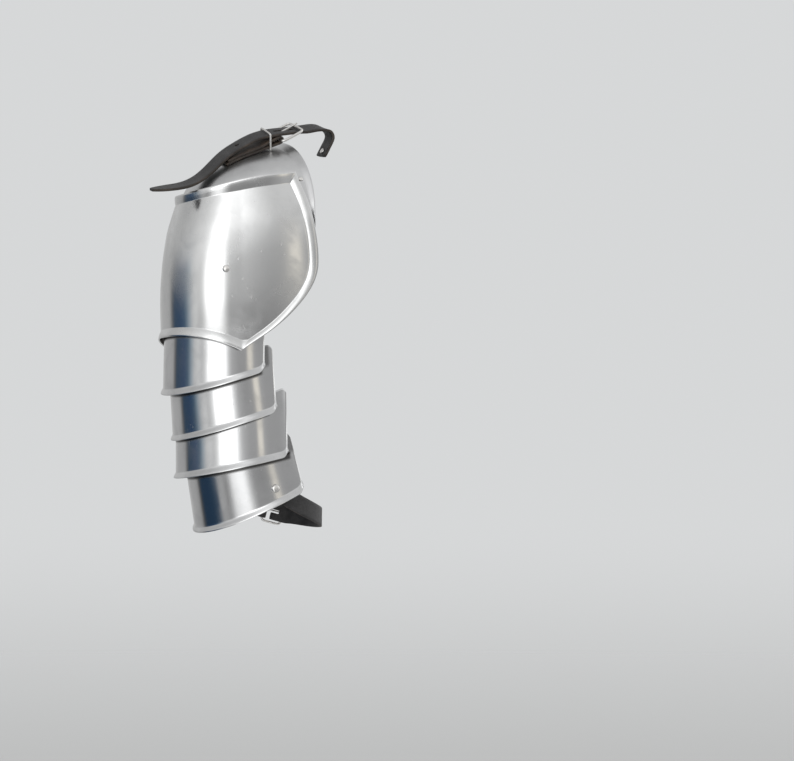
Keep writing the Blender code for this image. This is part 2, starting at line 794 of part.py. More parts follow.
# Leather base: down on the crest, round the bar and back over itself
fold = BUCKLE_WIRE + TOUCH + HALF + 0.0002
base_share = plate_at(BASE_RIVET_INWARD, STRAP_FORWARD)
base_normal = plate_normal(*base_share)
base_point = plate_point(*base_share)


def base_station(share, layer):
    """Station on the base at a share from its rivet to the bar; layer is its height over the lower one."""
    inward = BASE_RIVET_INWARD + (BUCKLE_INWARD - BASE_RIVET_INWARD) * share
    spot = plate_at(min(inward, RIM_INWARD), STRAP_FORWARD)
    normal = plate_normal(*spot)
    ground = plate_point(*spot) + normal * (TOUCH + HALF + 0.0001)
    goal = bar - up * fold
    shape = smooth((share - 0.10) / 0.68)
    straight = base_point + base_normal * (TOUCH + HALF) + (goal - base_point - base_normal * (TOUCH + HALF)) * share
    point = ground * (1.0 - shape) + straight * shape
    point = Vector((point.x, point.y, max(point.z, ground.z)))
    turned = smooth((share - 0.55) / 0.45)
    normal = (normal * (1.0 - turned) + up * turned).normalized()
    if layer:
        spread = 2.0 * fold
        rest = LEATHER + TOUCH
        point = point + normal * (rest + (spread - rest) * smooth((share - 0.55) / 0.45))
    return point, normal


low_layer = [base_station(share, 0) for share in (-0.16, 0.0, 0.2, 0.4, 0.6, 0.8, 0.95)]
high_layer = [base_station(share, 1) for share in (0.95, 0.8, 0.6, 0.4, 0.2, 0.0, -0.11)]
turn_layer = []
for step in range(7):
    turn = math.radians(-90.0 + 180.0 * step / 6.0)
    way = along * math.cos(turn) + up * math.sin(turn)
    turn_layer.append((bar + way * fold, -way))
stations = low_layer + turn_layer + [(p, -n) for p, n in high_layer]
base = strip("buckle_strap", stations, BASE_WIDTH, LEATHER, BROWN_LOOK, across=2)


def slot(target, centre, one, two, three, sizes):
    bm = bmesh.new()
    bmesh.ops.create_cube(bm, size=1.0)
    shift = Vector((SEAT_INWARD, 0.0, SEAT_UP))
    for vert in bm.verts:
        place = centre + one * vert.co.x * sizes[0] + two * vert.co.y * sizes[1] + three * vert.co.z * sizes[2]
        vert.co = place - shift
    if one.cross(two).dot(three) < 0:
        bmesh.ops.reverse_faces(bm, faces=bm.faces)
    mesh = bpy.data.meshes.new(target.name + "_slot")
    bm.to_mesh(mesh)
    bm.free()
    cutter = bpy.data.objects.new(target.name + "_slot", mesh)
    bpy.context.collection.objects.link(cutter)
    cutter.hide_render = True
    cutter.display_type = "WIRE"
    cut = target.modifiers.new("slot", "BOOLEAN")
    cut.operation = "DIFFERENCE"
    cut.solver = "EXACT"
    cut.object = cutter


slot(base, bar + along * 0.001, along, across, up, (0.0118, PRONG_WIRE * 2.0 + 0.0012, 0.0120))
drill(base, [(base_point, base_normal, hole_radius, 0.020)])
base_top = LEATHER * 2.0 + TOUCH * 3.0
rivet("rivet_crest", base_point + base_normal * base_top, base_normal, HEAD_FLAT, CREST_RIVET_RISE,
      base_top + STEEL + TOUCH * 2.0)
holes[plate.name].append((base_point, base_normal, hole_radius, 0.006))

# Long strap: tail over the crest, over the bar, under the far bar, and over the neck edge
half_strap = STRAP * 0.5


def strap_station(inward, height, degrees, forward=STRAP_FORWARD):
    tilt = math.radians(degrees)
    return Vector((inward, -forward, height)), Vector((0.0, -math.sin(tilt), math.cos(tilt)))


far = bar + along * BUCKLE_LENGTH
over = bar + up * (fold + HALF + TOUCH + half_strap + 0.0006)
under = far - up * (BUCKLE_WIRE + TOUCH + half_strap + 0.0003)
tail = []
tip_height = crest_height(BASE_RIVET_INWARD) - TAIL_TIP_BELOW


def tail_floor(inward):
    """Lowest height of the tail over the base and its rivet, and free of them further out."""
    beyond = max(BASE_RIVET_INWARD - HEAD_FLAT * 3.5 - inward, 0.0)
    stack = base_top + CREST_RIVET_RISE + TAIL_CLEAR + half_strap
    return crest_height(inward) + stack - beyond * 1.5


for row in reversed(TAIL_LINE):
    inward = BUCKLE_INWARD - TAIL_REACH * row["out"]
    height = tip_height + (over.z - tip_height) * row["rise"]
    tail.append(strap_station(inward, max(height, tail_floor(inward)), row["roll"]))
bridge = [(over, up), (bar * 0.55 + far * 0.45 + up * (fold * 0.55), up), (under, up)]
neck = []
for row in NECK_LINE:
    neck.append(strap_station(far.x + NECK_REACH * row["in"], under.z + row["rise"], row["roll"]))
end = strap_station(far.x + NECK_REACH, under.z - 0.0010, 10.0)
bend = []
centre = Vector((end[0].x - 0.001, end[0].y, end[0].z - NECK_BEND + 0.0005))
for step in range(5):
    turn = math.radians(70.0 - 100.0 * step / 4.0)
    way = Vector((math.cos(turn), 0.0, math.sin(turn)))
    bend.append((centre + way * NECK_BEND, way))
last_way = bend[-1][1]
down_way = Vector((last_way.z, 0.0, -last_way.x)).normalized()
end_points = [(bend[-1][0] + down_way * NECK_DROP * share, last_way) for share in (0.35, 0.7, 1.0)]
stations = tail + bridge + neck + bend + end_points
taper = [TAIL_TIP_TAPER, 0.80] + [1.0] * (len(stations) - 2)
long_strap = strip("long_strap", stations, STRAP_WIDTH, STRAP, LEATHER_LOOK, across=2, taper=taper)
neck_spot, neck_normal = end_points[1]
punched = tail[-3]
prong_way = (prong_points[-1] - prong_points[9]).normalized()
drill(long_strap, [
    (neck_spot, neck_normal, hole_radius, 0.010),
    (punched[0], punched[1], 0.0019, 0.010),
])
slot(long_strap, bridge[1][0] - along * 0.0012, along, across, up, (0.0195, PRONG_WIRE * 2.0 + 0.0010, 0.0120))
rivet("rivet_neck", neck_spot + neck_normal * half_strap, neck_normal, HEAD_MID, 0.0016, STRAP + TOUCH)

# Wire keeper round the tail and the base
keep_inward = BUCKLE_INWARD - KEEPER_AT
keep_low, low_up = base_station((keep_inward - BASE_RIVET_INWARD) / (BUCKLE_INWARD - BASE_RIVET_INWARD), 0)
course = tail + bridge
for one, two in zip(course, course[1:]):
    if one[0].x <= keep_low.x <= two[0].x:
        share = (keep_low.x - one[0].x) / (two[0].x - one[0].x)
        keep_high, high_up = between(one, two, share)
keep_low = keep_low - low_up * (HALF + TOUCH + KEEPER_WIRE)
keep_high = keep_high + high_up * (half_strap + TOUCH * 2.0 + KEEPER_WIRE)
keep_half = STRAP_WIDTH * 0.5 + KEEPER_WIRE + TOUCH * 2.0
low_side = low_up.cross(Vector((1.0, 0.0, 0.0))).normalized()
high_side = high_up.cross(Vector((1.0, 0.0, 0.0))).normalized()
ends = [keep_low - low_side * keep_half, keep_low + low_side * keep_half,
        keep_high + high_side * keep_half, keep_high - high_side * keep_half]
loop_points = []
for place in range(4):
    before, here, after = ends[place - 1], ends[place], ends[(place + 1) % 4]
    one = here + (before - here).normalized() * 0.0014
    two = here + (after - here).normalized() * 0.0014
    for share in (0.0, 0.5, 1.0):
        loop_points.append(one * (1 - share) ** 2 + here * (2 * share * (1 - share)) + two * share ** 2)
wire("keeper_ring", loop_points, KEEPER_WIRE, NICKEL_LOOK)

# Arm strap round the open inner side of the last lame
ring_inward, ring_forward, ring_radius = lame_axis(3, LAME_RIVET[3]["down"])
start_angle = LAME_RIVET[3]["angle"]
end_angle = -180.0 - start_angle


def arm_station(angle):
    share = (start_angle - angle) / (start_angle - end_angle)
    front, back = arm_spots[FRONT][0], arm_spots[BACK][0]
    edge = (front - Vector((ring_inward, -ring_forward, front.z))).length
    drop = ARM_SAG * max(4.0 * share * (1.0 - share), 0.0) ** 0.85
    radius = edge + (ARM_RADIUS - edge) * smooth(min(share, 1.0 - share) / 0.2)
    radius -= 0.004 * math.sin(math.pi * share)
    way = around(angle)
    point = way * radius + Vector((ring_inward, -ring_forward, front.z + (back.z - front.z) * share - drop))
    return point, way


bar_point, bar_way = arm_station(ARM_BAR)
bar_next = arm_station(ARM_BAR + 2.0)[0]
arm_along = (bar_next - bar_point).normalized()
arm_across = bar_way.cross(arm_along).normalized()
arm_up = arm_along.cross(arm_across).normalized()
if arm_up.dot(bar_way) < 0:
    arm_up.negate()
arm_far = bar_point + arm_along * ARM_BUCKLE_LENGTH
wire("arm_buckle_frame", rounded_box(bar_point, arm_along, arm_across, ARM_BUCKLE_LENGTH, ARM_BUCKLE_WIDTH, 0.003),
     ARM_WIRE, NICKEL_LOOK)
arm_prong = hook(bar_point, arm_along, arm_up, ARM_WIRE, 0.0010, ARM_BUCKLE_LENGTH + 0.0018,
                 ARM_WIRE + TOUCH * 2.5 + 0.0010)
wire("arm_buckle_prong", arm_prong, 0.0010, NICKEL_LOOK, closed=False, sides=6, tips=[1.0] * 12 + [0.95, 0.6])

arm_fold = ARM_WIRE + TOUCH + HALF + 0.0002
back_spot, back_normal = arm_spots[BACK]
goal = bar_point - arm_up * arm_fold
lean = (goal - back_spot)
lean -= back_normal * lean.dot(back_normal)
lean.normalize()
tab = [(back_spot - lean * 0.008 - back_normal * 0.0012, back_normal), (back_spot, back_normal),
       (back_spot + lean * 0.009 - back_normal * 0.0014, back_normal)]
last_tab = (goal - arm_along * 0.003, arm_up)
tab += [between(tab[-1], last_tab, share, 0.0008 * math.sin(math.pi * share)) for share in (0.35, 0.7)] + [last_tab]
for step in range(7):
    turn = math.radians(-90.0 + 180.0 * step / 6.0)
    way = arm_along * math.cos(turn) + arm_up * math.sin(turn)
    tab.append((bar_point + way * arm_fold, -way))
tab.append((bar_point + arm_up * arm_fold - arm_along * 0.007, -arm_up))
arm_tab = strip("arm_buckle_tab", tab, ARM_WIDTH, LEATHER, LEATHER_LOOK, across=2)
slot(arm_tab, bar_point + arm_along * 0.001, arm_along, arm_across, arm_up, (0.0108, 0.0035, 0.0110))
drill(arm_tab, [(back_spot, back_normal, hole_radius, 0.006)])

front_spot, front_normal = arm_spots[FRONT]
angles = [-6.0, -22.0, -38.0, -55.0, -73.0, -92.0, -110.0, -124.0]
loop = [arm_station(angle) for angle in angles]
lean = loop[0][0] - front_spot
lean -= front_normal * lean.dot(front_normal)
lean.normalize()
beyond = arm_far - arm_up * (ARM_WIRE + TOUCH + half_strap + 0.0002)
loop = [(front_spot - lean * 0.008 - front_normal * 0.0012, front_normal), (front_spot, front_normal),
        (front_spot + lean * 0.009 - front_normal * 0.0012, front_normal)] + loop
loop += [(beyond + arm_along * 0.004, arm_up), (beyond, arm_up),
         (bar_point + arm_along * (arm_fold + HALF + 0.0035) - arm_up * 0.0008, arm_up)]
arm_strap = strip("arm_strap", loop, ARM_WIDTH, LEATHER, LEATHER_LOOK, across=2)
drill(arm_strap, [(front_spot, front_normal, hole_radius, 0.006)])
slot(arm_strap, (arm_far + bar_point) * 0.5 + arm_along * 0.0015, arm_along, arm_across, arm_up,
     (0.0085, 0.0033, 0.0110))

for target in [cop, plate] + lames:
    drill(target, holes[target.name])
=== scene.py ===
import math

import bpy
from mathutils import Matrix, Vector


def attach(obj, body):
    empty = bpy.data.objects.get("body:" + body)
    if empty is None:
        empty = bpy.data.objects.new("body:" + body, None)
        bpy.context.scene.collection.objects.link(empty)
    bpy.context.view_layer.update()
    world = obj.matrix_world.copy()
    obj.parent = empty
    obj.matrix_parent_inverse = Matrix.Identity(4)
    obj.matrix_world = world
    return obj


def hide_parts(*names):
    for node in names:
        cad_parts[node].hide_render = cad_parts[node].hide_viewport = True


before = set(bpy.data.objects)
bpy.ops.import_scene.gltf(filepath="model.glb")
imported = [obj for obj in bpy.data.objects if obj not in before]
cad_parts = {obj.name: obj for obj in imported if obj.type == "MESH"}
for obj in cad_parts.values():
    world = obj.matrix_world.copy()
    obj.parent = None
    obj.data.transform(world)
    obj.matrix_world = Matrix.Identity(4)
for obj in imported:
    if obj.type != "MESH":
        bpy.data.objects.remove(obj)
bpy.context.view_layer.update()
print("frame loaded")

# Lengths are metres. X runs inwards to the neck, -Y is the wearer's front, Z is up.
# Angles run from the wearer's front (0) over the outer side of the arm (90) to the back (180).
seat = Vector((0.020, 0.0, 0.1715))     # from the middle of the cop's ring to the mount under the crest


def lookFrom(azimuth, elevation):
    # The way out to a camera or a lamp. Azimuth 0 is before the wearer.
    turn, lift = math.radians(azimuth), math.radians(elevation)
    return Vector((math.sin(turn) * math.cos(lift), -math.cos(turn) * math.cos(lift), math.sin(lift)))


# Camera
view = {
    "azimuth": -27.0,
    "elevation": 5.0,
    "distance": 7.0,
    "focal": 339.5,
    "sensor": 36.0,
    "farEnd": 60.0,
    "aim": (0.1130, -0.0714, -0.2093),
}


def addCamera(values):
    away = lookFrom(values["azimuth"], values["elevation"])
    place = Vector(values["aim"]) + away * values["distance"]
    bpy.ops.object.camera_add(location=place, rotation=away.to_track_quat("Z", "Y").to_euler())
    camera = bpy.context.object
    camera.name = "photoCamera"
    camera.data.lens = values["focal"]
    camera.data.sensor_width = values["sensor"]
    camera.data.clip_end = values["farEnd"]
    bpy.context.scene.camera = camera


addCamera(view)
print("camera set")


# Shader maths: a channel is a socket that can be added, multiplied and so on
class Channel:
    def __init__(self, tree, socket):
        self.tree = tree
        self.socket = socket

    def combine(self, operation, first, second):
        node = self.tree.nodes.new("ShaderNodeMath")
        node.operation = operation
        for end, value in zip(node.inputs, (first, second)):
            if isinstance(value, Channel):
                self.tree.links.new(value.socket, end)
            else:
                end.default_value = value
        return Channel(self.tree, node.outputs[0])

    def __add__(self, other):
        return self.combine("ADD", self, other)

    def __radd__(self, other):
        return self.combine("ADD", other, self)

    def __sub__(self, other):
        return self.combine("SUBTRACT", self, other)

    def __rsub__(self, other):
        return self.combine("SUBTRACT", other, self)

    def __mul__(self, other):
        return self.combine("MULTIPLY", self, other)

    def __rmul__(self, other):
        return self.combine("MULTIPLY", other, self)

    def __truediv__(self, other):
        return self.combine("DIVIDE", self, other)

    def __pow__(self, other):
        return self.combine("POWER", self, other)


class Recipe:
    def __init__(self, tree):
        self.tree = tree

    def add(self, kind, settings=None, sockets=None, stops=None, out=0):
        node = self.tree.nodes.new(kind)
        for key, value in (settings or {}).items():
            setattr(node, key, value)
        if stops:
            ramp = node.color_ramp
            while len(ramp.elements) > 1:
                ramp.elements.remove(ramp.elements[-1])
            ramp.elements[0].position = stops[0][0]
            ramp.elements[0].color = (*stops[0][1], 1.0)
            for place, colour in stops[1:]:
                ramp.elements.new(place).color = (*colour, 1.0)
        for key, value in (sockets or {}).items():
            if isinstance(value, Channel):
                self.tree.links.new(value.socket, node.inputs[key])
            else:
                node.inputs[key].default_value = value
        return Channel(self.tree, node.outputs[out])

    def maths(self, operation, *values):
        return self.add("ShaderNodeMath", {"operation": operation}, dict(enumerate(values)))

    def split(self, vector):
        parts = self.add("ShaderNodeSeparateXYZ", None, {0: vector}).socket.node.outputs
        return [Channel(self.tree, part) for part in parts]

    def noise(self, place, scale, detail=2.0, rough=0.5, warp=0.0):
        return self.add("ShaderNodeTexNoise", None, {"Vector": place, "Scale": scale, "Detail": detail,
                                                     "Roughness": rough, "Distortion": warp})

    def stretch(self, place, scale):
        return self.add("ShaderNodeMapping", None, {"Vector": place, "Scale": scale})

    def step(self, value, low, high, start=0.0, end=1.0):
        return self.add("ShaderNodeMapRange", {"interpolation_type": "SMOOTHSTEP"},
                        {"Value": value, "From Min": low, "From Max": high, "To Min": start, "To Max": end})

    def mixColour(self, share, one, two):
        return self.add("ShaderNodeMix", {"data_type": "RGBA"}, {0: share, 6: one, 7: two}, out=2)

    def bump(self, height, distance, under=None):
        sockets = {"Height": height, "Distance": distance, "Strength": 1.0}
        if under:
            sockets["Normal"] = under
        return self.add("ShaderNodeBump", None, sockets)


def startFinish(name, fixed):
    made = bpy.data.materials.new(name)
    made.use_nodes = True
    tree = made.node_tree
    shader = tree.nodes["Principled BSDF"]
    for key, value in fixed.items():
        shader.inputs[key].default_value = value
    recipe = Recipe(tree)
    place = recipe.add("ShaderNodeTexCoord", out=3)

    def feed(socket, channel):
        tree.links.new(channel.socket, shader.inputs[socket])

    return made, recipe, place, feed


# Polished sheet steel: slow waves from the hammer, satin haze, hairlines and small nicks
sheetSteel = {
    "colour": (0.70, 0.705, 0.71, 1.0),
    "shade": (0.60, 0.605, 0.61, 1.0),
    "roughness": 0.18,
    "haze": 0.13,
    "wave": 0.00022,
    "hairline": 0.0000030,
    "speckle": 0.0000060,
}
# The cop's copy of the steel is lighter than the lames': a painted highlight that stands in for the brighter light on
# the cop
copSteelLit = dict(sheetSteel, colour=(0.76, 0.765, 0.765, 1.0), shade=(0.67, 0.675, 0.675, 1.0))
lameSteel = dict(sheetSteel, roughness=0.13, haze=0.07, wave=0.00018)
satinSteel = dict(sheetSteel, roughness=0.33, haze=0.10, speckle=0.0000090)

# The inside of the sheet is left dull, with oil and rust in its pores
innerSteel = {
    "colour": (0.30, 0.295, 0.285, 1.0),
    "shade": (0.155, 0.142, 0.130, 1.0),
    "roughness": 0.46,
    "haze": 0.18,
    "wave": 0.00030,
    "hairline": 0.0000200,
    "speckle": 0.0000400,
}

# Patterns in the steel: their noise scales, and the stretch of those that run one way
steelGrain = {
    "wave": 17.0,
    "patch": 30.0,
    "lines": 2600.0,
    "linesPull": (1.0, 1.0, 0.03),
    "cross": 1500.0,
    "crossPull": (0.05, 0.05, 1.0),
    "speck": 1400.0,
    "nicks": 420.0,
    "nicksPull": (1.0, 1.0, 0.35),
}

# Painted shade under a rim, a dark band that stands in for the contact shadow between plates: how strong, how far it
# reaches below the rim, and where it ends above it
rimShade = {
    "colour": (0.030, 0.028, 0.026, 1.0),
    "strength": 0.88,
    "reach": (0.0002, 0.0028),
    "above": (-0.006, -0.004),
    "endReach": (-0.007, -0.002),
    "endStrength": 0.6,
    "uneven": 0.0008,
    "dulls": 0.25,
}


def makeSteel(name, values, rimShadeAt=None):
    made, recipe, place, feed = startFinish(name, {"Metallic": 1.0})
    grain = steelGrain
    slow = recipe.noise(place, grain["wave"], 1.5, 0.4)
    patch = recipe.noise(place, grain["patch"], 4.0, 0.6, 0.4)
    lines = recipe.noise(recipe.stretch(place, grain["linesPull"]), grain["lines"], 2.0, 0.7)
    cross = recipe.noise(recipe.stretch(place, grain["crossPull"]), grain["cross"], 2.0, 0.6)
    speck = recipe.noise(place, grain["speck"], 2.0, 0.6)
    nicks = recipe.noise(recipe.stretch(place, grain["nicksPull"]), grain["nicks"], 1.0, 0.5)
    nicks = recipe.step(nicks, 0.70, 0.78)
    colour = recipe.mixColour(recipe.step(patch, 0.35, 0.75), values["colour"], values["shade"])
    dull = recipe.step(patch, 0.38, 0.72) * values["haze"]
    roughness = dull + (values["roughness"] - 0.02) + (speck - 0.5) * 0.08 + nicks * 0.12
    # Painted shade: the lame's colour is darkened under the rim above and beside that plate's end, standing in for
    # contact shadow, and the steel is made rougher there
    if rimShadeAt:
        below, covered, beside = rimShadeAt(recipe, place)
        below = below + (patch - 0.5) * rimShade["uneven"]
        paintedShade = recipe.step(below, *rimShade["reach"], rimShade["strength"], 0.0)
        paintedShade = paintedShade * recipe.step(below, *rimShade["above"]) * covered
        if beside:
            paintedShade = paintedShade + recipe.step(below, *rimShade["endReach"], 1.0, 0.0) * beside
        colour = recipe.mixColour(paintedShade, colour, rimShade["colour"])
        roughness = roughness + paintedShade * rimShade["dulls"]
    feed("Base Color", colour)
    feed("Roughness", roughness)
    wave = recipe.bump(slow, values["wave"])
    hair = recipe.bump(lines * 0.6 + cross * 0.4, values["hairline"], wave)
    feed("Normal", recipe.bump(speck - nicks * 1.6, values["speckle"], hair))
    return made


# Bright nickel plate on buckles, keeper and rivets
nickelPlate = {
    "colour": (0.86, 0.85, 0.83, 1.0),
    "shade": (0.74, 0.72, 0.69, 1.0),
    "roughness": 0.27,
}


def makeNickel(name, values):
    made, recipe, place, feed = startFinish(name, {"Metallic": 1.0})
    patch = recipe.noise(place, 260.0, 3.0, 0.6)
    fine = recipe.noise(place, 2400.0, 2.0, 0.6)
    feed("Base Color", recipe.mixColour(recipe.step(patch, 0.45, 0.75), values["colour"], values["shade"]))
    feed("Roughness", recipe.step(patch, 0.35, 0.8) * 0.18 + values["roughness"])
    feed("Normal", recipe.bump(patch * 0.8 + fine * 0.2, 0.00005))
    return made


# Leathers: a grained black face, a brown cut edge and a brown rough face
blackLeather = {
    "colour": (0.026, 0.026, 0.027, 1.0),
    "worn": (0.060, 0.059, 0.060, 1.0),
    "roughness": 0.46,
    "grain": 0.00012,
    "fibre": 0.0,
}
cutEdge = {
    "colour": (0.042, 0.035, 0.030, 1.0),
    "worn": (0.098, 0.080, 0.066, 1.0),
    "roughness": 0.62,
    "grain": 0.00018,
    "fibre": 0.5,
}
brownLeather = {
    "colour": (0.058, 0.042, 0.032, 1.0),
    "worn": (0.135, 0.098, 0.072, 1.0),
    "roughness": 0.60,
    "grain": 0.00016,
    "fibre": 0.4,
}
poreShade = (0.012, 0.010, 0.009, 1.0)


def makeLeather(name, values):
    made, recipe, place, feed = startFinish(name, {"Specular IOR Level": 0.45})
    cells = recipe.add("ShaderNodeTexVoronoi", {"feature": "DISTANCE_TO_EDGE"}, {"Vector": place, "Scale": 900.0})
    pores = recipe.step(cells, 0.0, 0.16)
    crease = recipe.noise(recipe.stretch(place, (0.35, 1.0, 1.0)), 240.0, 4.0, 0.65, 0.6)
    patch = recipe.noise(place, 55.0, 4.0, 0.65)
    strands = recipe.noise(recipe.stretch(place, (0.15, 1.0, 1.0)), 1900.0, 3.0, 0.7)
    wear = recipe.step(patch * 0.65 + crease * 0.35, 0.44, 0.66)
    colour = recipe.mixColour(wear, values["colour"], values["worn"])
    feed("Base Color", recipe.mixColour((1.0 - pores) * 0.45, colour, poreShade))
    feed("Roughness", wear * 0.14 + (values["roughness"] - 0.04) + (1.0 - pores) * 0.12)
    fibre = values["fibre"]
    height = pores * (0.5 - fibre * 0.3) + crease * 0.8 + strands * (0.15 + fibre)
    feed("Normal", recipe.bump(height, values["grain"]))
    return made


copFinish = makeSteel("polishedPlate", copSteelLit)
satinFinish = makeSteel("satinPlate", satinSteel)
innerFinish = makeSteel("dullInside", innerSteel)
nickelFinish = makeNickel("nickelPlate", nickelPlate)
blackFinish = makeLeather("blackLeather", blackLeather)
edgeFinish = makeLeather("cutLeatherEdge", cutEdge)
brownFinish = makeLeather("brownLeather", brownLeather)
print("finishes made")


# Shared shaping helpers
def smooth(share):
    share = min(max(share, 0.0), 1.0)
    return share * share * (3.0 - 2.0 * share)


def slopeAt(rows, key, value, place):
    low, high = rows[max(place - 1, 0)], rows[min(place + 1, len(rows) - 1)]
    return (high[value] - low[value]) / (high[key] - low[key])


def readTable(rows, key, value, at):
    if at <= rows[0][key]:
        return rows[0][value]
    for place in range(len(rows) - 1):
        low, high = rows[place], rows[place + 1]
        if at <= high[key]:
            span = high[key] - low[key]
            t = (at - low[key]) / span
            rise = high[value] - low[value]
            start = slopeAt(rows, key, value, place) * span
            end = slopeAt(rows, key, value, place + 1) * span
            return low[value] + start * t + (3 * rise - 2 * start - end) * t ** 2 + (start + end - 2 * rise) * t ** 3
    return rows[-1][value]


def around(angle):
    turn = math.radians(angle)
    return Vector((-math.sin(turn), -math.cos(turn), 0.0))


def spread(band, fine, coarse, length):
    # Shares from 0 to 1, close together in a band at both ends
    share = band / length
    ends = [share * k / fine for k in range(fine)]
    middle = [share + (1.0 - 2.0 * share) * k / coarse for k in range(coarse + 1)]
    return ends + middle + [1.0 - e for e in reversed(ends)]


def onlySelect(piece):
    bpy.ops.object.select_all(action="DESELECT")
    piece.select_set(True)
    bpy.context.view_layer.objects.active = piece


def applyAll(piece):
    onlySelect(piece)
    for modifier in list(piece.modifiers):
        bpy.ops.object.modifier_apply(modifier=modifier.name)


def bendSheet(name, rows, columns, pointAt, outward, edge, *finishes):
    # A flat grid is laid over the surface, and given its wall and a rounded cut edge
    bpy.ops.object.select_all(action="DESELECT")
    bpy.ops.mesh.primitive_grid_add(x_subdivisions=len(columns) - 1, y_subdivisions=len(rows) - 1, size=1.0)
    piece = bpy.context.object
    piece.name = name
    piece.data.name = name
    for vert in piece.data.vertices:
        column = round((vert.co.x + 0.5) * (len(columns) - 1))
        row = round((0.5 - vert.co.y) * (len(rows) - 1))
        vert.co = pointAt(rows[row], columns[column]) - seat
    middle = piece.data.polygons[len(piece.data.polygons) // 2]
    if middle.normal.dot(outward(middle.center)) < 0:
        bpy.ops.object.mode_set(mode="EDIT")
        bpy.ops.mesh.select_all(action="SELECT")
        bpy.ops.mesh.flip_normals()
        bpy.ops.object.mode_set(mode="OBJECT")
    for finish in finishes:                                # the wall needs both before it is applied
        piece.data.materials.append(finish)
    wall = piece.modifiers.new("wall", "SOLIDIFY")
    wall.thickness = sheet["wall"]
    wall.offset = -1.0
    wall.material_offset = 1
    rounding = piece.modifiers.new("edge", "BEVEL")
    rounding.width = edge
    rounding.segments = 2
    rounding.limit_method = "ANGLE"
    rounding.angle_limit = math.radians(60.0)
    applyAll(piece)
    bpy.ops.object.shade_smooth()
    return piece


def refineNode(node, name, crease, sharp=50.0):
    # A merged copy of the frame's own piece, turned back to quads and rounded, with its sharp edges held
    piece = bpy.data.objects.new(name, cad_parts[node].data.copy())
    bpy.context.collection.objects.link(piece)
    piece.data.name = name
    piece.data.materials.clear()
    onlySelect(piece)
    bpy.ops.object.mode_set(mode="EDIT")
    bpy.ops.mesh.select_all(action="SELECT")
    bpy.ops.mesh.remove_doubles(threshold=0.00001)
    bpy.ops.mesh.tris_convert_to_quads(face_threshold=math.radians(30.0), shape_threshold=math.radians(60.0))
    bpy.ops.mesh.select_all(action="DESELECT")
    if crease:
        bpy.ops.mesh.select_mode(type="EDGE")
        bpy.ops.mesh.edges_select_sharp(sharpness=math.radians(sharp))
        bpy.ops.transform.edge_crease(value=crease)
        bpy.ops.mesh.select_all(action="DESELECT")
    bpy.ops.object.mode_set(mode="OBJECT")
    smoother = piece.modifiers.new("smooth", "SUBSURF")
    smoother.levels = 2
    smoother.render_levels = 2
    applyAll(piece)
    bpy.ops.object.shade_smooth()
    return piece


def mount(piece, node, slot, *finishes):
    for finish in finishes:
        piece.data.materials.append(finish)
    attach(piece, "root")
    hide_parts(node)


# Every plate: the wall's thickness and the room between a plate and the one under it
sheet = {
    "wall": 0.0012,
    "gap": 0.0021,
}

# Cop
cop = {
    "radius": 0.0704,
    "top": 0.1472,
    "topFront": 0.0102,
    "topSide": -0.010,
    "tilt": 0.0095,
    "arch": 0.0051,
    "point": 21.0,
    "pointDrop": 0.0180,
    "pointPower": 2.6,
    "spread": 0.47,
    "spreadFrom": 30.0,
    "border": 0.0085,
    "borderRise": 0.0026,
    "borderTurn": 1.8,
    "lipTurn": 0.00025,
    "lipShare": 0.16,
    "fineBand": 1.3,
    "edge": 0.00030,
    "blend": 0.022,
    "rows": (24, 70),
    "columns": (24, 110),
    "profile": [
        {"down": 0.00, "radius": 0.764},
        {"down": 0.05, "radius": 0.788},
        {"down": 0.14, "radius": 0.846},
        {"down": 0.27, "radius": 0.914},
        {"down": 0.50, "radius": 0.977},
        {"down": 0.72, "radius": 1.000},
        {"down": 1.00, "radius": 0.990},
    ],
    "sideEdge": [
        {"down": 0.00, "angle": -22.0},
        {"down": 0.20, "angle": -24.8},
        {"down": 0.48, "angle": -25.2},
        {"down": 0.62, "angle": -22.0},
        {"down": 0.76, "angle": -13.0},
        {"down": 0.88, "angle": 0.0},
        {"down": 1.00, "angle": 21.0},
    ],
}


def copTop(angle):
    turn = math.radians(angle)
    return cop["top"] + cop["topFront"] * math.cos(turn) + cop["topSide"] * math.sin(turn)


def copBottom(angle):
    turn = math.radians(angle)
    point = cop["point"]
    reach = abs(90.0 - min(max(angle, point), 180.0 - point)) / (90.0 - point)
    return cop["tilt"] * math.cos(turn) + cop["arch"] - cop["pointDrop"] * reach ** cop["pointPower"]


def copRadius(angle, down):
    # The dome is blended over its neighbours, apart from its two rims
    shares = [readTable(cop["profile"], "down", "radius", down + k * cop["blend"]) for k in (-1, 0, 0, 1)]
    if down < 0.03 or down > 0.97:
        shares = [readTable(cop["profile"], "down", "radius", down)]
    away = max(cop["spreadFrom"] - min(angle, 180.0 - angle), 0.0)
    return cop["radius"] * sum(shares) / len(shares) * (1.0 + cop["spread"] * math.radians(away) ** 2)


def copPoint(angle, down):
    point = around(angle) * copRadius(angle, down)
    point.z = copTop(angle) + (copBottom(angle) - copTop(angle)) * down
    return point


def copNormal(angle, down):
    low, high = max(down - 0.02, 0.0), min(down + 0.02, 1.0)
    along = copPoint(angle, high) - copPoint(angle, low)
    across = copPoint(angle + 2.0, down) - copPoint(angle - 2.0, down)
    normal = along.cross(across).normalized()
    return normal if normal.dot(around(angle)) > 0 else -normal


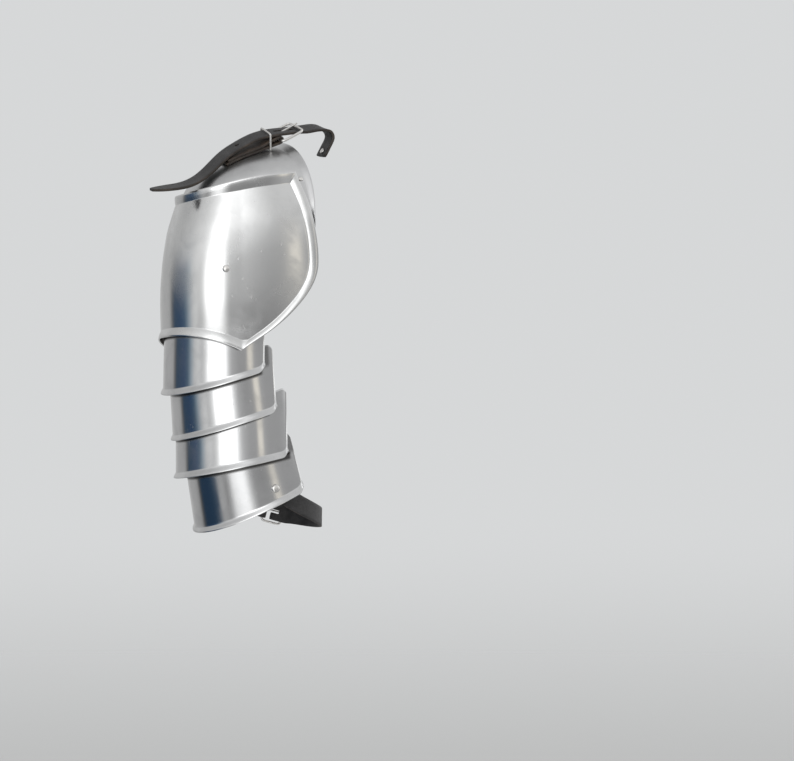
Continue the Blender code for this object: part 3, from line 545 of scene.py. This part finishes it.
def makeCop():
    height = cop["top"] - cop["arch"]
    width = cop["radius"] * math.pi
    band = cop["border"] / height

    def pointAt(down, share):
        first = readTable(cop["sideEdge"], "down", "angle", down)
        across = 180.0 - 2.0 * first
        angle = first + across * share
        near = min(share, 1.0 - share)
        edge = min(down, 1.0 - down) / band                 # how far in from the rim, in widths of the border
        if near < 0.3:
            inwards = copPoint(first + across * near, down) - copPoint(first, down)
            edge = min(edge, inwards.length / cop["border"])
        rise = cop["borderRise"] * (1.0 - min(edge, 1.0) ** cop["borderTurn"])
        rise -= cop["lipTurn"] * max(1.0 - edge / cop["lipShare"], 0.0) ** 2
        return copPoint(angle, down) + copNormal(angle, down) * rise

    fine = cop["border"] * cop["fineBand"]
    rows = spread(fine, *cop["rows"], height)
    columns = spread(fine, *cop["columns"], width)
    piece = bendSheet("copPlate", rows, columns, pointAt, lambda p: Vector((p.x, p.y, 0.0)), cop["edge"],
                      copFinish, innerFinish)
    mount(piece, "shoulder_cop", "plate_steel")


makeCop()
print("cop made")

# Arm lames
lames = {
    "firstEase": 0.0008,
    "flare": 0.0021,
    "flareHeight": 0.006,
    "corner": 0.0060,
    "cornerShare": 0.045,
    "endTurn": 0.00035,
    "endShare": 0.016,
    "edge": 0.00014,
    "first": {"up": 0.010, "front": 0.008, "side": -0.006},
    "rings": [
        {"inward": -0.0015, "forward": 0.0030, "radius": 0.0680, "down": 0.0288, "front": 0.0062, "side": -0.0203,
         "overlap": 0.022, "edge": 3.4, "edgeTop": 2.0, "step": 0.45},
        {"inward": 0.0060, "forward": 0.0070, "radius": 0.0672, "down": 0.0707, "front": 0.0090, "side": -0.0206,
         "overlap": 0.023, "edge": 0.2, "edgeTop": -3.4, "step": 0.25},
        {"inward": 0.0068, "forward": 0.0105, "radius": 0.0668, "down": 0.1137, "front": 0.0084, "side": -0.0126,
         "overlap": 0.018, "edge": -7.6, "edgeTop": -13.0, "step": 0.45},
        {"inward": 0.0245, "forward": 0.0130, "radius": 0.0662, "down": 0.1458, "front": 0.0058, "side": -0.0322,
         "overlap": 0.023, "edge": -6.5, "edgeTop": -9.0, "step": 0.25},
    ],
}


def lameBottom(index, angle):
    turn = math.radians(angle)
    if index < 0:
        first = lames["first"]
        return first["up"] + first["front"] * math.cos(turn) + first["side"] * math.sin(turn)
    ring = lames["rings"][index]
    return -ring["down"] + ring["front"] * math.cos(turn) + ring["side"] * math.sin(turn)


def lameTop(index, angle):
    return lameBottom(index - 1, angle) + lames["rings"][index]["overlap"]


def lameAxis(index, down):
    ring = lames["rings"][index]
    if index == 0:
        start = (0.0, 0.0, cop["radius"] - sheet["wall"] - sheet["gap"] - lames["firstEase"])
    else:
        above = lames["rings"][index - 1]
        reach = ring["overlap"] / (lameTop(index - 1, 45.0) - lameBottom(index - 1, 45.0))
        inward, forward, radius = lameAxis(index - 1, 1.0 - reach)
        shift = (ring["inward"] - above["inward"]) * ring["step"]
        start = (inward + shift, forward, radius - sheet["wall"] - sheet["gap"])
    return [a + (b - a) * down for a, b in zip(start, (ring["inward"], ring["forward"], ring["radius"]))]


def sineOf(angle):
    return math.sin(math.radians(angle))


def makeRimShade(index):
    # Three masks for the painted shade: the depth under the rim above, where the shade is painted, the width that the
    # plate above covers, and the narrow strip beside that plate's end, also painted darker, which the first lame
    # doesn't have
    def rimShadeAt(recipe, place):
        inward, forward, radius = lameAxis(index, 0.5)
        away = recipe.add("ShaderNodeVectorMath", None, {0: place, 1: (seat.x - inward, seat.y + forward, seat.z)})
        x, y, z = recipe.split(away)
        turn = recipe.maths("ARCTAN2", x * -1.0, y * -1.0)
        cosine = recipe.maths("COSINE", turn)
        sine = recipe.maths("SINE", turn)
        first = lames["rings"][index - 1]["edge"] if index else cop["point"] - 2.0
        covered = recipe.step(sine, sineOf(first + 3.0), sineOf(first + 6.0))
        if index:
            ring = lames["rings"][index - 1]
            beside = recipe.step(sine, sineOf(first - 3.0), sineOf(first - 0.3), 0.0, rimShade["endStrength"])
            return cosine * ring["front"] + sine * ring["side"] - z - ring["down"], covered, beside
        reach = recipe.maths("ABSOLUTE", turn - math.pi * 0.5) / math.radians(90.0 - cop["point"])
        return cosine * cop["tilt"] - reach ** cop["pointPower"] * cop["pointDrop"] - z + cop["arch"], covered, 0.0

    return rimShadeAt


def makeLame(index):
    ring = lames["rings"][index]
    bend = math.degrees(lames["corner"] / ring["radius"])
    corner = lames["cornerShare"]

    def pointAt(down, share):
        first = ring["edgeTop"] + (ring["edge"] - ring["edgeTop"]) * down
        near = min(share, 1.0 - share)
        quarter = min(near / corner, 1.0) * math.pi * 0.5                    # the round corner in even steps
        inset = lames["corner"] * (1.0 - math.sin(quarter))
        turned = (1.0 - math.cos(quarter)) * bend
        if near > corner:
            turned += (90.0 - first - bend) * (near - corner) / (0.5 - corner)
        angle = first + turned if share < 0.5 else 180.0 - first - turned
        top, bottom = lameTop(index, angle), lameBottom(index, angle)
        height = top - inset + (bottom + inset - top + inset) * down
        inward, forward, radius = lameAxis(index, (top - height) / (top - bottom))
        above = height - bottom
        flare = lames["flare"] * smooth(1.0 - (above - inset * 0.75 * down) / lames["flareHeight"])
        flare += lames["endTurn"] * max(1.0 - near / lames["endShare"], 0.0) ** 1.5
        point = around(angle) * (radius + flare)
        return point + Vector((inward, -forward, height))

    rows = [k / 34.0 for k in range(25)] + [24.0 / 34.0 + k / 102.0 for k in range(1, 31)]     # finer at the flare
    columns = [corner * k / 9.0 for k in range(9)]
    columns += [corner + (1.0 - 2.0 * corner) * k / 110.0 for k in range(111)]
    columns += [1.0 - c for c in reversed(columns[:9])]
    finish = makeSteel("lamePlate%d" % (index + 1), lameSteel, makeRimShade(index))
    piece = bendSheet("armLame%d" % (index + 1), rows, columns, pointAt, lambda p: Vector((p.x - 0.01, p.y, 0.0)),
                      lames["edge"], finish, innerFinish)
    mount(piece, "arm_lame_%d" % (index + 1), "plate_steel")


for index in range(len(lames["rings"])):
    makeLame(index)
print("lames made")

# Shoulder plate
plate = {
    "inward": 0.042,
    "lean": 0.007,
    "halfDepth": 0.082,
    "rise": 0.075,
    "foot": 0.1065,
    "square": 2.05,
    "side": 0.118,
    "reach": 18.0,
    "shoulder": 0.86,
    "shoulderDrop": 0.09,
    "passAbove": 0.06,
    "passSlope": 0.25,
    "width": 0.118,
    "turn": 0.0016,
    "turnWidth": 0.0060,
    "groove": 0.00020,
    "grooveAt": 0.0066,
    "grooveWidth": 0.0009,
    "edge": 0.00030,
    "fineRows": (33, 0.0024),       # over the turned rim: how many, and their step
    "rows": 50,
    "columns": 130,
}


def rimPoint(share):
    turn = math.pi * share
    power = 2.0 / plate["square"]
    depth = -plate["halfDepth"] * math.copysign(abs(math.cos(turn)) ** power, math.cos(turn))
    rise = plate["rise"] * max(math.sin(turn), 0.0) ** power
    return Vector((plate["inward"] + plate["lean"] * math.sin(turn), depth, plate["foot"] + rise))


def copShare(angle, height):
    return (copTop(angle) - height) / (copTop(angle) - copBottom(angle))


def plateFoot(share):
    angle = -plate["reach"] + (180.0 + 2.0 * plate["reach"]) * share
    height = plate["foot"] + (plate["side"] - plate["foot"]) * math.sin(math.pi * share)
    point = around(angle) * (copRadius(angle, copShare(angle, height)) - sheet["wall"] - sheet["gap"])
    point.z = height
    return point


def platePoint(share, out):
    rim, foot = rimPoint(share), plateFoot(share)
    middle = rim + (foot - rim) * plate["shoulder"]
    middle.z = rim.z - (rim.z - foot.z) * plate["shoulderDrop"]
    point = rim * (1.0 - out) ** 2 + middle * (2.0 * out * (1.0 - out)) + foot * out ** 2
    angle = math.degrees(math.atan2(-point.x, -point.y))
    if angle < -90.0:
        angle += 360.0
    under = copShare(angle, point.z)
    if under > -plate["passAbove"]:                        # here it has to pass inside the cop
        limit = copRadius(angle, max(under, 0.0)) - sheet["wall"] - sheet["gap"]
        if under < 0.0:
            limit -= under * plate["passSlope"]
        level = Vector((point.x, point.y, 0.0))
        if level.length > limit:
            level = level.normalized() * limit
            point.x, point.y = level.x, level.y
    return point


def plateNormal(share, out):
    low, high = max(out - 0.01, 0.0), min(out + 0.01, 1.0)
    front, back = max(share - 0.01, 0.0), min(share + 0.01, 1.0)
    normal = (platePoint(share, high) - platePoint(share, low)).cross(platePoint(back, out) - platePoint(front, out))
    normal.normalize()
    return normal if normal.dot(platePoint(share, out) - Vector((0.02, 0.0, 0.09))) > 0 else -normal


def makeShoulderPlate():
    def pointAt(out, share):
        away = out * plate["width"]
        rise = plate["turn"] * (1.0 - smooth(away / plate["turnWidth"]))
        rise -= plate["groove"] * math.exp(-((away - plate["grooveAt"]) / plate["grooveWidth"]) ** 2)
        return platePoint(share, out) + plateNormal(share, out) * rise

    count, step = plate["fineRows"]
    start = count * step
    rows = [k * step for k in range(count + 1)]
    rows += [start + (1.0 - start) * k / plate["rows"] for k in range(1, plate["rows"] + 1)]
    columns = [k / plate["columns"] for k in range(plate["columns"] + 1)]
    piece = bendSheet("shoulderPlate", rows, columns, pointAt, lambda p: p - Vector((0.0, 0.0, -0.08)),
                      plate["edge"], satinFinish, innerFinish)
    mount(piece, "shoulder_plate", "plate_steel")


makeShoulderPlate()
print("shoulder plate made")

# Rivets
for node in [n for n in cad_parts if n.startswith("rivet_")]:
    parts = node.split("_")
    piece = refineNode(node, parts[0] + "".join(part.title() for part in parts[1:]), 0.6, 55.0)
    mount(piece, node, "rivet_steel", nickelFinish)
print("rivets made")

# Buckles, prongs and keeper
for node, name in (("buckle_frame", "buckleFrame"), ("buckle_prong", "buckleProng"), ("keeper_ring", "keeperRing"),
                   ("arm_buckle_frame", "armBuckleFrame"), ("arm_buckle_prong", "armBuckleProng")):
    piece = refineNode(node, name, 0.0)
    mount(piece, node, "buckle_steel", nickelFinish)
print("buckles made")


# Leathers and straps: node, piece, slot, crease of the edges, face finish, and the axis across each strap
straps = (
    ("buckle_strap", "buckleStrap", "brown_leather", 0.80, brownFinish, 1),
    ("long_strap", "longStrap", "black_leather", 0.85, blackFinish, 1),
    ("arm_strap", "armStrap", "black_leather", 0.85, blackFinish, 2),
    ("arm_buckle_tab", "armBuckleTab", "black_leather", 0.85, blackFinish, 2),
)


def markCutEdges(piece, axis):
    for face in piece.data.polygons:
        if abs(face.normal[axis]) > 0.75:
            face.material_index = 1


for node, name in (("leather_front", "leatherFront"), ("leather_back", "leatherBack")):
    piece = refineNode(node, name, 0.75)
    mount(piece, node, "brown_leather", brownFinish)

for node, name, slot, crease, finish, axis in straps:
    piece = refineNode(node, name, crease)
    mount(piece, node, slot, finish, edgeFinish)
    markCutEdges(piece, axis)
print("leathers made")

# Floor and studio light
studio = {
    "floorHeight": -1.25,
    "floorRadius": 9.0,
    "floorColour": (0.66, 0.665, 0.66, 1.0),
    "floorFade": (0.30, 0.95),
    "backdrop": (0.675, 0.685, 0.690, 1.0),
    "fill": 0.62,
    "keyLight": {"azimuth": -60.0, "elevation": 42.0, "distance": 2.2, "size": 1.4, "power": 22.0},
    "fillLight": {"azimuth": 40.0, "elevation": 20.0, "distance": 2.6, "size": 1.6, "power": 8.0},
    "lightsAim": (0.0, 0.0, -0.17),
    # What the metal mirrors. The level of the room leans, and the layers fade into one another by height.
    "lean": 0.11,
    "leanTurn": 220.0,
    "lift": 0.05,
    "toAbove": (0.02, 0.16),
    "toCeiling": (0.18, 0.58),
    "toBelow": (0.09, 0.24),
    # Turn from the camera's direction, and how bright the room is there. In order: pale wall, dark blue
    # screen, pale screen, white softbox, grey wall with one warm lamp, second softbox.
    "level": [
        (-180, 0.62), (-160, 0.53), (-148, 0.46), (-129, 0.45), (-119, 0.42), (-113, 0.15),
        (-108, (0.040, 0.070, 0.110)), (-90, (0.035, 0.070, 0.140)), (-82, (0.065, 0.118, 0.180)),
        (-76, (0.30, 0.37, 0.43)), (-69, 0.66), (-62, 0.80), (-56, 0.64), (-51, 0.82), (-47, 1.15), (-43, 2.20),
        (-19, 2.20), (-15, 1.20), (-11, 0.72), (-7, 0.52), (4, 0.41), (16, 0.41), (19, (0.95, 0.90, 0.81)),
        (24, (0.95, 0.90, 0.81)), (28, 0.46), (36, 0.40), (54, 0.40), (66, 0.46), (85, 1.25), (130, 1.25), (160, 0.70),
    ],
    "above": [
        (-180, 0.55), (-136, 0.58), (-120, 0.50), (-104, 0.50), (-88, 0.60), (-72, 0.72), (-56, 0.90), (-48, 1.00),
        (-41, 1.20), (-33, 2.10), (-16, 2.10), (-9, 1.30), (-1, 0.86), (8, 0.68), (17, 0.74), (28, 0.76), (60, 0.70),
        (85, 1.05), (130, 1.05), (170, 0.60),
    ],
    "ceiling": [
        (-180, 0.55), (-120, 0.48), (-88, 0.56), (-56, 0.82), (-40, 0.98), (-28, 1.08), (-16, 1.04), (-8, 0.84),
        (0, 0.72), (16, 0.68), (60, 0.72), (100, 0.80), (150, 0.60),
    ],
    "below": [
        (-180, 0.46), (-128, 0.38), (-119, 0.30), (-112, 0.07), (-105, (0.016, 0.036, 0.066)),
        (-78, (0.020, 0.044, 0.082)), (-71, (0.040, 0.070, 0.115)), (-65, 0.46), (-57, 0.42), (-52, 0.27), (-46, 0.42),
        (-39, 1.00), (-30, 1.20), (-23, 1.20), (-17, 0.80), (-11, 0.46), (-5, 0.27), (8, 0.27), (18, 0.38),
        (24, 0.50), (34, 0.40), (70, 0.42), (110, 0.60), (160, 0.52),
    ],
}


def makeFloor(values):
    bpy.ops.mesh.primitive_circle_add(vertices=96, radius=values["floorRadius"], fill_type="TRIFAN",
                                      location=(0.0, 0.0, values["floorHeight"]))
    floor = bpy.context.object
    floor.name = "floor"
    made = bpy.data.materials.new("paleFloor")
    made.use_nodes = True
    recipe = Recipe(made.node_tree)
    shader = made.node_tree.nodes["Principled BSDF"]
    shader.inputs["Base Color"].default_value = values["floorColour"]
    shader.inputs["Roughness"].default_value = 0.8
    place = recipe.add("ShaderNodeTexCoord", out=3)
    away = recipe.add("ShaderNodeVectorMath", {"operation": "LENGTH"}, {0: place}, out=1)
    fade = recipe.step(away, *[values["floorRadius"] * share for share in values["floorFade"]])
    clear = recipe.add("ShaderNodeBsdfTransparent")
    both = recipe.add("ShaderNodeMixShader", None, {0: fade, 1: Channel(made.node_tree, shader.outputs[0]), 2: clear})
    made.node_tree.links.new(both.socket, made.node_tree.nodes["Material Output"].inputs[0])
    floor.data.materials.append(made)
    floor.visible_glossy = False


def makeWorld(values):
    world = bpy.data.worlds.new("studio")
    bpy.context.scene.world = world
    world.use_nodes = True
    tree = world.node_tree
    recipe = Recipe(tree)
    x, y, z = recipe.split(recipe.add("ShaderNodeTexCoord"))
    turn = recipe.maths("ARCTAN2", x, y * -1.0)
    share = recipe.maths("FRACT", (turn - math.radians(view["azimuth"])) / (2.0 * math.pi) + 0.5)
    layers = {}
    for layer in ("level", "above", "ceiling", "below"):
        stops = [((turned + 180.0) / 360.0, tone if isinstance(tone, tuple) else (tone, tone, tone))
                 for turned, tone in values[layer]]
        layers[layer] = recipe.add("ShaderNodeValToRGB", None, {"Fac": share}, stops)
    lean = recipe.maths("SINE", share * (2.0 * math.pi) + math.radians(values["leanTurn"]))
    height = z - lean * values["lean"] - values["lift"]
    room = recipe.mixColour(recipe.step(height, *values["toAbove"]), layers["level"], layers["above"])
    room = recipe.mixColour(recipe.step(height, *values["toCeiling"]), room, layers["ceiling"])
    room = recipe.mixColour(recipe.step(height * -1.0, *values["toBelow"]), room, layers["below"])
    # Metal mirrors the room, the camera sees a plain backdrop, and all else gets an even fill
    path = tree.nodes.new("ShaderNodeLightPath")
    seen = Channel(tree, path.outputs["Is Camera Ray"])
    glossy = Channel(tree, path.outputs["Is Glossy Ray"])
    even = (values["fill"], values["fill"], values["fill"], 1.0)
    lit = recipe.mixColour(glossy, even, room)
    shown = recipe.mixColour(seen, lit, values["backdrop"])
    tree.links.new(shown.socket, tree.nodes["Background"].inputs["Color"])


def addSoftbox(name, values, aim):
    away = lookFrom(values["azimuth"], values["elevation"])
    bpy.ops.object.light_add(type="AREA", location=Vector(aim) + away * values["distance"],
                             rotation=away.to_track_quat("Z", "Y").to_euler())
    lamp = bpy.context.object
    lamp.name = name
    lamp.data.shape = "SQUARE"
    lamp.data.size = values["size"]
    lamp.data.energy = values["power"]
    lamp.visible_glossy = False


makeFloor(studio)
makeWorld(studio)
for name in ("keyLight", "fillLight"):
    addSoftbox(name, studio[name], studio["lightsAim"])
bpy.context.scene.view_settings.view_transform = "Standard"
print("studio made")
